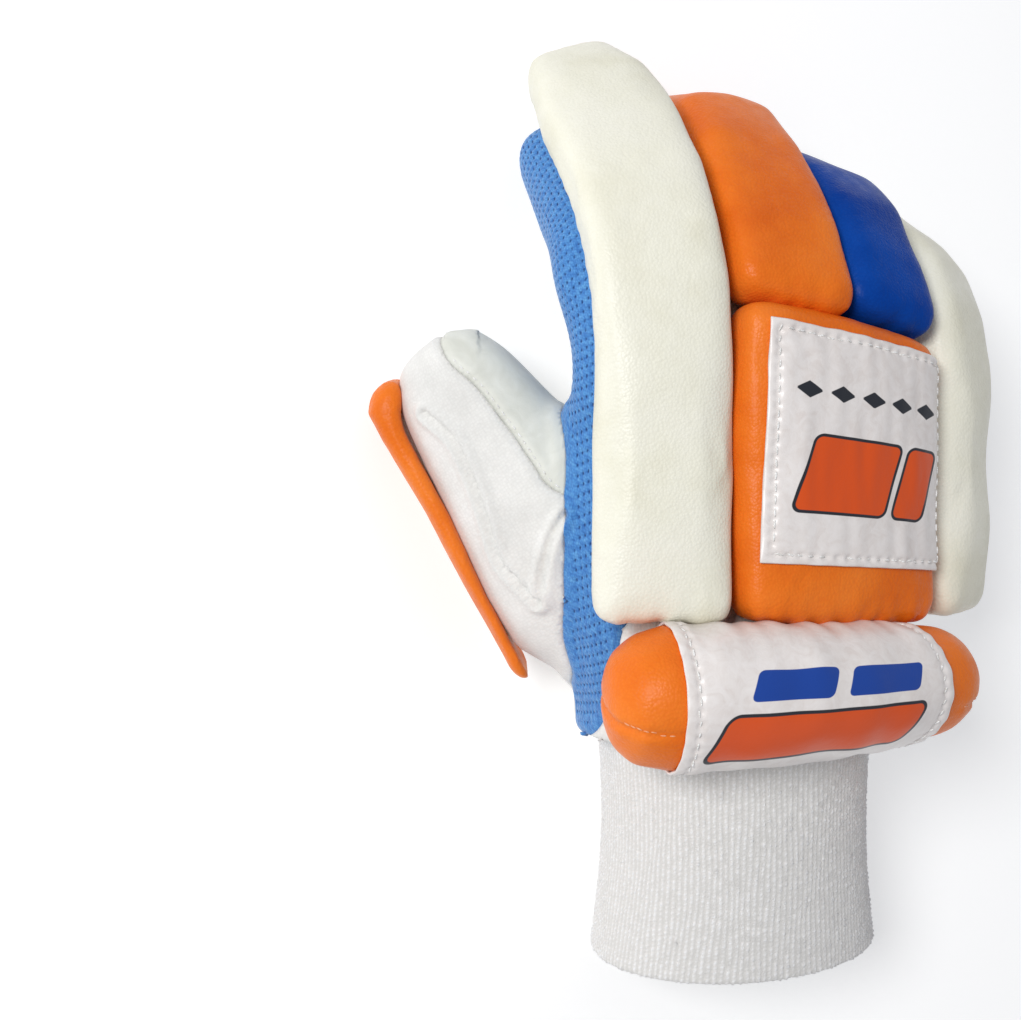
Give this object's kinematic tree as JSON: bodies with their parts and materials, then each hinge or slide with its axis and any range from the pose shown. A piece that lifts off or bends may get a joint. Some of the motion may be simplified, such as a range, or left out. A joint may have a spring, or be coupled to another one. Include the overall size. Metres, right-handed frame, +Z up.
{
  "type": "batting_glove",
  "caption": "Right-hand cricket batting glove, palm down: ridged pads in cream, orange and blue, block, wrist roll, towelling cuff and strap",
  "frame": {"origin": "on the surface that the glove lies on, under the middle of its bounding box", "axes": "+X from the thumb to the little finger, +Y from the cuff to the fingertips, +Z up, towards the back of the hand"},
  "size_m": [0.1858, 0.2834, 0.109],
  "materials": {
    "orange leather": "smooth coated leather with a soft shine and a faint grain",
    "cream leather": "smooth coated leather with a soft shine and a faint grain",
    "blue leather": "smooth coated leather with a soft shine and a faint grain",
    "white patch leather": "thin glossy leather, wrinkled, stitched along its edges",
    "palm leather": "soft matt leather with fine creases",
    "white cotton": "close knitted cotton",
    "towelling": "looped terry towelling",
    "blue mesh": "knitted mesh with rows of small holes",
    "strap vinyl": "semi-gloss coated vinyl with stitched edges"
  },
  "bodies": {
    "root": {"knuckle_block": "orange leather", "pad_middle": "orange leather", "pad_index": "cream leather", "pad_ring": "blue leather", "pad_little": "cream leather", "block_patch": "white patch leather", "wrist_roll": "orange leather", "wrist_label": "white patch leather", "cuff": "towelling", "strap": "strap vinyl", "thumb_guard": "orange leather", "thumb_pad": "palm leather", "thumb_cover": "white cotton", "backing": "white cotton", "index_front": "palm leather", "palm": "white cotton", "front_middle": "white cotton", "front_ring": "white cotton", "front_little": "white cotton", "palm_patch": "palm leather", "mesh_index": "blue mesh", "mesh_middle": "blue mesh", "mesh_ring": "blue mesh", "mesh_little": "blue mesh"}
  },
  "joints": []
}
